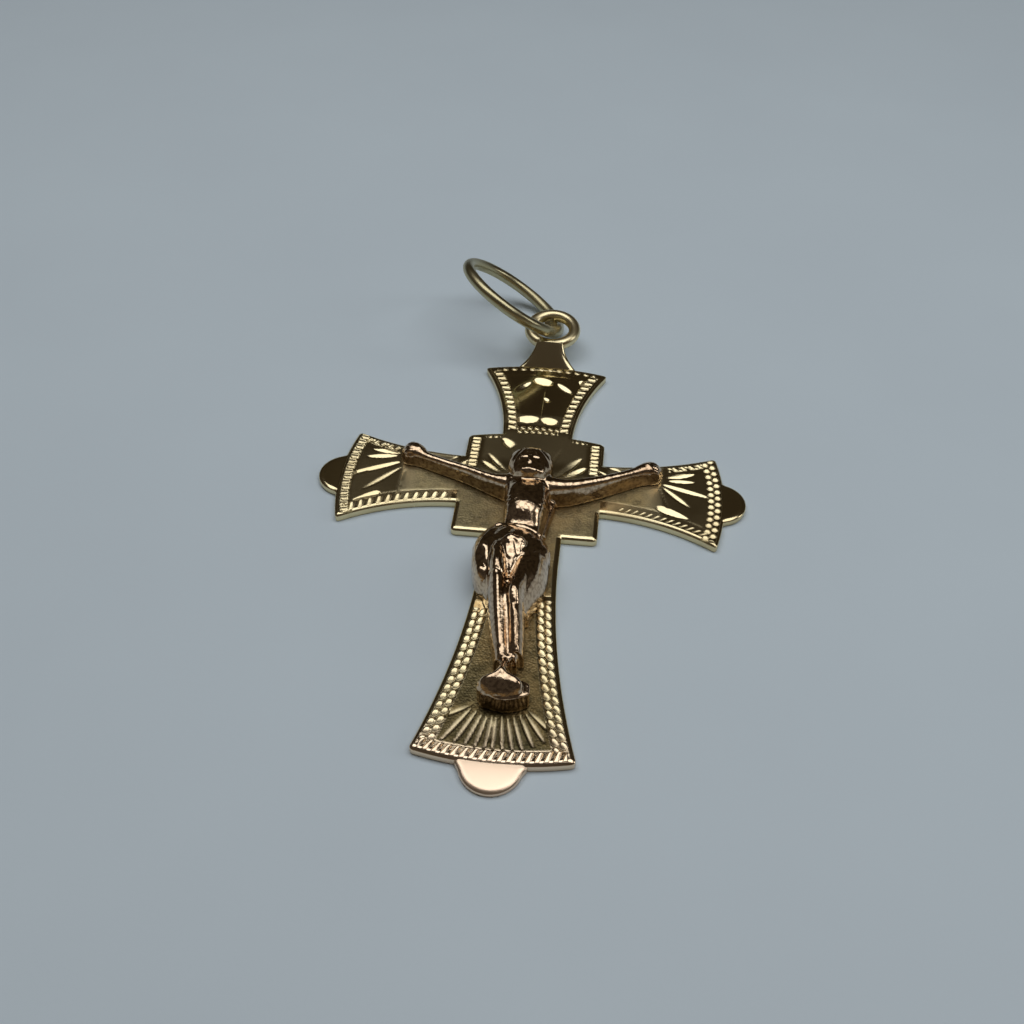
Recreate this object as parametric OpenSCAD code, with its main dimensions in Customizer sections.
// A crucifix pendant in gold, lying on its back: a flat cross with flared arms and lobed ends, an eye
// on a neck that bends up from its top, a relief figure set on its face, and a round jump ring
// through the eye. Millimetres.
// The origin is on the plate's back face, in the middle of the crossing. +Y runs up the cross to the
// eye, +X to the right of the face, and +Z out of the front face.

/* [Plate] */
// Thickness of the plate
plate_t = 0.55; // [0.5:0.05:0.65]
// Half width of the square block at the crossing
block_half = 4.17; // [4:0.01:4.4]
// Height of the block's upper corners above the middle
block_up = 4.25; // [4.1:0.05:4.5]
// Depth of the block's lower edge below the middle
block_down = 4; // [3.8:0.05:4.2]
// How far each outer edge bows out past its corners
edge_bow = 0.5; // [0.4:0.05:0.6]
// Radius of the round lobe on three of the ends
lobe_r = 1.57; // [1.4:0.01:1.7]

/* [Side arms] */
// Distance of the end's corners from the middle
side_reach = 10.85; // [10.5:0.05:11]
// Half width at the flared end
side_half = 3.75; // [3.5:0.05:3.9]
// Height of the upper edge at the block
side_foot_up = 2.36; // [2.2:0.01:2.5]
// Depth of the lower edge at the block
side_foot_down = 1.75; // [1.6:0.01:2]
// Distance from the middle at which the edges start to flare
side_flare = 4.5; // [4.2:0.1:5]
// Distance from the middle to the tip of the lobe
side_tip = 12.6; // [12.4:0.05:12.8]

/* [Upper arm] */
// Distance of the end's corners from the middle
upper_reach = 11; // [10.8:0.05:11.2]
// Half width at the flared end
upper_half = 3.98; // [3.8:0.01:4.1]
// Half width at the block
upper_foot = 2.14; // [2:0.01:2.3]
// Distance from the middle at which the edges start to flare
upper_flare = 4.8; // [4.7:0.1:5.2]

/* [Lower arm] */
// Distance of the end's corners from the middle
lower_reach = 18.75; // [18.4:0.05:19.2]
// Half width at the flared end
lower_half = 4.08; // [3.9:0.01:4.2]
// Half width at the block
lower_foot = 2.18; // [2.1:0.01:2.3]
// Distance from the middle at which the edges start to flare
lower_flare = 6.3; // [6:0.1:7]
// Distance from the middle to the tip of the lobe
lower_tip = 20.75; // [20.6:0.05:21]

/* [Eye] */
// Diameter of the eye's round wire
eye_wire = 0.77; // [0.74:0.01:0.78]
// Radius of the eye to the middle of its wire
eye_r = 1.46; // [1.45:0.01:1.48]
// Distance of the eye's centre from the middle of the cross
eye_y = 14.1; // [14.08:0.01:14.12]
// Height of the eye's centre above the surface that the pendant lies on
eye_z = 1.56; // [1.54:0.01:1.57]
// How far the eye's centre stands off the cross's middle line
eye_x = 0.1; // [0.08:0.01:0.12]
// Angle by which the eye's far side is bent up
eye_tilt = 5.3; // [5:0.1:5.6]
// Half width of the neck at the eye
neck_eye_half = 0.95; // [0.8:0.05:1.1]
// Half width of the neck's root in the upper arm
neck_arm_half = 1.8; // [1.7:0.05:1.9]
// Thickness of the neck
neck_t = 0.5; // [0.45:0.05:0.55]

/* [Jump ring] */
// Outside diameter of the ring
ring_d = 8.06; // [8:0.01:8.1]
// Diameter of the ring's wire
ring_wire = 0.77; // [0.74:0.01:0.78]
// Place of the ring's centre across the cross
ring_x = -2.65; // [-2.67:0.01:-2.63]
// Place of the ring's centre along the cross
ring_y = 15.73; // [15.71:0.01:15.75]
// Height of the ring's centre
ring_z = 2.79; // [2.77:0.01:2.81]
// Lean of the ring's plane from lying flat
ring_lean = 38.4; // [38:0.1:38.8]
// Direction in which the ring's upper face looks, turned from +X towards +Y
ring_heading = 30.9; // [30.5:0.1:31.3]

/* [Figure] */
// Gap between the figure's flat back and the plate
seat_gap = 0.02; // [0.01:0.01:0.05]
// Height of the foot block above the plate
rest_h = 1.15; // [1:0.05:1.3]
// Radius of the two pegs on the figure's back
peg_r = 0.5; // [0.4:0.05:0.6]
// Clearance around each peg in the plate
peg_clear = 0.03; // [0.02:0.01:0.05]

/* [Hidden] */

// Fineness of the round shapes: whole circles, wires, long flat arcs and the figure's sections
curve_fn = 96;
wire_fn = 32;
long_arc_fn = 192;
arch_steps = 10;
// Overlap that keeps joined shapes from meeting in a bare edge
eps = 0.01;
// The pegs end this far inside the plate's back, at these places down the cross
peg_recess = 0.05;
peg_ys = [-2.2, -7.4];
// The arms start this far from the middle, inside the block
arm_root = 1;
// An arm's flaring arc would reach its lowest point this far before it meets the straight edge
flare_lead = 0.6;
// The neck's straight root ends this far inside the arm's edge, and its bend starts this far outside
neck_root = 0.3;
neck_lip = 0.05;

// Columns of the tables below: [x, y, half width, height], one row for each section across the form.
SX = 0;
SY = 1;
SW = 2;
SH = 3;

torso_rows = [
    [ 0.00, -0.20, 1.30, 1.40],
    [ 0.05, -0.95, 1.95, 1.60],
    [-0.05, -2.00, 1.62, 1.90],
    [-0.08, -3.20, 1.45, 1.92],
    [-0.10, -4.40, 1.25, 1.60],
    [-0.20, -5.20, 1.60, 1.85],
    [-0.38, -6.50, 2.15, 2.25],
    [-0.40, -7.60, 2.10, 2.35],
    [-0.35, -8.60, 1.65, 2.20],
    [-0.30, -9.40, 1.10, 1.90],
];
right_leg_rows = [
    [-1.00, -6.60, 1.05, 2.20],
    [-1.10, -8.20, 0.98, 2.40],
    [-0.95, -9.60, 0.75, 2.45],
    [-0.80, -10.6, 0.66, 2.25],
    [-0.55, -12.0, 0.56, 1.80],
    [-0.35, -13.6, 0.48, 1.50],
];
left_leg_rows = [
    [ 0.60, -6.60, 1.10, 2.20],
    [ 0.40, -8.40, 1.00, 2.45],
    [ 0.22, -10.1, 0.80, 2.60],
    [ 0.28, -11.0, 0.68, 2.40],
    [ 0.38, -12.3, 0.58, 1.90],
    [ 0.25, -13.7, 0.48, 1.50],
];
cloth_end_rows = [
    [-1.95, -5.60, 0.45, 1.30],
    [-2.15, -6.60, 0.55, 1.50],
    [-2.00, -7.80, 0.50, 1.20],
    [-1.70, -8.90, 0.30, 0.80],
];
right_arm_rows = [
    [-1.00, -0.95, 0.75, 1.50],
    [-1.90, -0.70, 0.52, 1.20],
    [-3.60,  0.05, 0.42, 0.95],
    [-5.40,  0.72, 0.40, 0.90],
    [-6.40,  1.15, 0.42, 0.92],
    [-6.80,  1.45, 0.62, 0.98],
    [-7.20,  1.60, 0.72, 1.00],
    [-7.60,  1.66, 0.62, 0.90],
    [-7.85,  1.68, 0.35, 0.60],
];
left_arm_rows = [
    [ 1.00, -0.95, 0.80, 1.50],
    [ 2.00, -0.95, 0.72, 1.40],
    [ 3.60, -0.35, 0.62, 1.25],
    [ 5.20,  0.40, 0.50, 1.15],
    [ 6.10,  0.95, 0.50, 1.10],
    [ 6.55,  1.25, 0.60, 1.12],
    [ 7.00,  1.45, 0.66, 1.10],
    [ 7.40,  1.55, 0.58, 0.95],
    [ 7.65,  1.58, 0.33, 0.60],
];
feet_rows = [
    [-0.08, -13.2, 0.75, 1.55],
    [-0.10, -14.2, 0.80, 1.75],
    [-0.15, -15.0, 0.98, 1.95],
    [-0.18, -15.6, 1.12, 1.95],
    [-0.18, -15.95, 1.05, 1.40],
];
// The head is a dome on a low wall: its half width, half length, height, wall height and middle
head_r = 1.28;
head_half_l = 1.36;
head_h = 2.55;
head_wall = 0.9;
head_y = 0.2;
head_steps = 8;
head_end_angle = 12;
head_rows = [for (i = [0:head_steps])
    let (a = head_end_angle + (180 - 2 * head_end_angle) * i / head_steps)
    [0, head_y + head_half_l * cos(a), head_r * sin(a), head_wall + (head_h - head_wall) * sin(a)]
];
// The foot block: its edges in plan and the radius of its front face
rest_back = -14.6;
rest_front = -16.25;
rest_x0 = -1.15;
rest_x1 = 1.45;
rest_round_r = 3.2;
// Power of the sections' arch: 1 is half an ellipse, and less makes its sides steeper
arch_power = 0.8;

// Radius of an arc that leaves a straight edge at its tangent and moves off it by side over run
function flare_radius(run, side) = (run * run + side * side) / (2 * side);

// Radius of an arc over a chord of half width half that rises by bow in its middle
function bow_radius(half, bow) = (half * half + bow * bow) / (2 * bow);

// Direction in plan of the path at row i, from the neighbouring rows
function heading(rows, i) =
    let (a = rows[max(i - 1, 0)])
    let (b = rows[min(i + 1, len(rows) - 1)])
    atan2(b[SY] - a[SY], b[SX] - a[SX]);

// One section: an arch with steep feet and a round crown, across the path and standing on z = 0
function arch(row, turn) = [for (k = [0:arch_steps])
    let (a = 180 * k / arch_steps)
    let (across = row[SW] * cos(a))
    [
        row[SX] - across * sin(turn),
        row[SY] + across * cos(turn),
        row[SH] * pow(sin(a), arch_power)
    ]
];

// A relief form with a flat back: arches joined from row to row and closed at both ends
module relief(rows) {
    wide = arch_steps + 1;
    last = len(rows) - 1;
    points = [for (i = [0:last]) each arch(rows[i], heading(rows, i))];
    skin = [for (i = [0:last - 1]) for (k = [0:arch_steps])
        let (a = i * wide + k)
        let (b = i * wide + (k + 1) % wide)
        each [[a, a + wide, b], [b, a + wide, b + wide]]
    ];
    first_cap = [[for (k = [0:arch_steps]) k]];
    last_cap = [[for (k = [arch_steps:-1:0]) last * wide + k]];
    polyhedron(points, concat(skin, first_cap, last_cap));
}

// Height above the foot of the centre of an arm's arc, which rises by side over run
function flare_centre(run, side) = (run * run + 2 * run * flare_lead + side * side) / (2 * side);

// Half of an arm's outline, on its +Y side, along +X: straight from its foot, then flaring on an arc
module half_arm(foot, end, flare_at, reach) {
    up = flare_centre(reach - flare_at, end - foot);
    r = sqrt(up * up + flare_lead * flare_lead);
    lap = flare_lead / 2;
    translate([arm_root, 0]) square([flare_at + lap - arm_root, foot]);
    difference() {
        translate([flare_at - lap, 0]) square([reach - flare_at + edge_bow + lap, end + eps]);
        translate([flare_at - flare_lead, foot + up]) circle(r = r, $fn = long_arc_fn);
    }
}

// Keeps what lies inside a bowed end edge through the corners at reach
module bowed_end(half, reach) {
    r = bow_radius(half, edge_bow);
    intersection() {
        children();
        union() {
            translate([reach + edge_bow - r, 0]) circle(r = r, $fn = long_arc_fn);
            translate([0, -half]) square([reach - edge_bow, 2 * half]);
        }
    }
}

// A whole arm along +X, with its two edges stated apart, and a round lobe if tip is more than 0
module arm(foot_up, foot_down, end, flare_at, reach, tip) {
    bowed_end(end, reach) {
        half_arm(foot_up, end, flare_at, reach);
        mirror([0, 1]) half_arm(foot_down, end, flare_at, reach);
    }
    if (tip > 0) {
        translate([tip - lobe_r, 0]) circle(r = lobe_r, $fn = curve_fn);
        translate([reach, -lobe_r]) square([edge_bow + eps, 2 * lobe_r]);
    }
}

// The square block at the crossing, its upper edge bowed
module block() {
    r = bow_radius(block_half, edge_bow);
    translate([-block_half, -block_down]) square([2 * block_half, block_up + block_down]);
    intersection() {
        translate([0, block_up + edge_bow - r]) circle(r = r, $fn = long_arc_fn);
        translate([-block_half, 0]) square([2 * block_half, block_up + edge_bow]);
    }
}

module plate_outline() {
    block();
    arm(side_foot_up, side_foot_down, side_half, side_flare, side_reach, side_tip);
    mirror([1, 0]) arm(side_foot_up, side_foot_down, side_half, side_flare, side_reach, side_tip);
    rotate(90) arm(upper_foot, upper_foot, upper_half, upper_flare, upper_reach, 0);
    rotate(-90) arm(lower_foot, lower_foot, lower_half, lower_flare, lower_reach, lower_tip);
}

// The neck: its plan narrows on arcs towards the eye, and its side view bends up to the eye's height
module neck() {
    edge = upper_reach + edge_bow;
    y0 = edge - neck_t;
    y1 = edge + neck_lip;
    y2 = eye_y - eye_r;
    rise = eye_z - neck_t / 2;
    narrow_r = flare_radius(y2 - edge + neck_root, neck_arm_half - neck_eye_half);
    intersection() {
        linear_extrude(height = eye_z + neck_t) difference() {
            translate([-neck_arm_half, y0]) square([2 * neck_arm_half, y2 - y0]);
            for (side = [-1, 1])
                translate([side * (neck_eye_half + narrow_r), y2]) circle(r = narrow_r, $fn = curve_fn);
        }
        rotate([90, 0, 90]) translate([0, 0, -neck_arm_half]) linear_extrude(height = 2 * neck_arm_half)
            polygon([
                [y0, 0],
                [y1, 0],
                [y2, rise],
                [y2, rise + neck_t],
                [y1 - neck_t / 2, plate_t],
                [y0, plate_t]
            ]);
    }
}

module eye() {
    translate([eye_x, eye_y, eye_z]) rotate([eye_tilt, 0, 0]) rotate_extrude($fn = curve_fn)
        translate([eye_r, 0]) circle(d = eye_wire, $fn = wire_fn);
}

module peg_holes() {
    for (y = peg_ys) translate([0, y, -eps]) cylinder(r = peg_r + peg_clear, h = plate_t + 2 * eps, $fn = 48);
}

module cross_plate() {
    color([0.78, 0.68, 0.36]) {
        difference() {
            linear_extrude(height = plate_t) plate_outline();
            peg_holes();
        }
        neck();
        eye();
    }
}

// The block under the feet, its front face bowed
module foot_rest() {
    intersection() {
        translate([rest_x0, rest_front, 0]) cube([rest_x1 - rest_x0, rest_back - rest_front, rest_h]);
        translate([(rest_x0 + rest_x1) / 2, rest_front + rest_round_r, -eps])
            cylinder(r = rest_round_r, h = rest_h + 2 * eps, $fn = curve_fn);
    }
}

module pegs() {
    depth = plate_t + seat_gap - peg_recess;
    for (y = peg_ys) translate([0, y, -depth]) cylinder(r = peg_r, h = depth + eps, $fn = 48);
}

module corpus() {
    color([0.60, 0.40, 0.26]) translate([0, 0, plate_t + seat_gap]) {
        relief(head_rows);
        relief(torso_rows);
        relief(right_arm_rows);
        relief(left_arm_rows);
        relief(right_leg_rows);
        relief(left_leg_rows);
        relief(cloth_end_rows);
        relief(feet_rows);
        foot_rest();
        pegs();
    }
}

module jump_ring() {
    color([0.80, 0.74, 0.42]) translate([ring_x, ring_y, ring_z]) rotate([0, ring_lean, ring_heading])
        rotate_extrude($fn = curve_fn)
            translate([(ring_d - ring_wire) / 2, 0]) circle(d = ring_wire, $fn = wire_fn);
}

cross_plate();
corpus();
jump_ring();
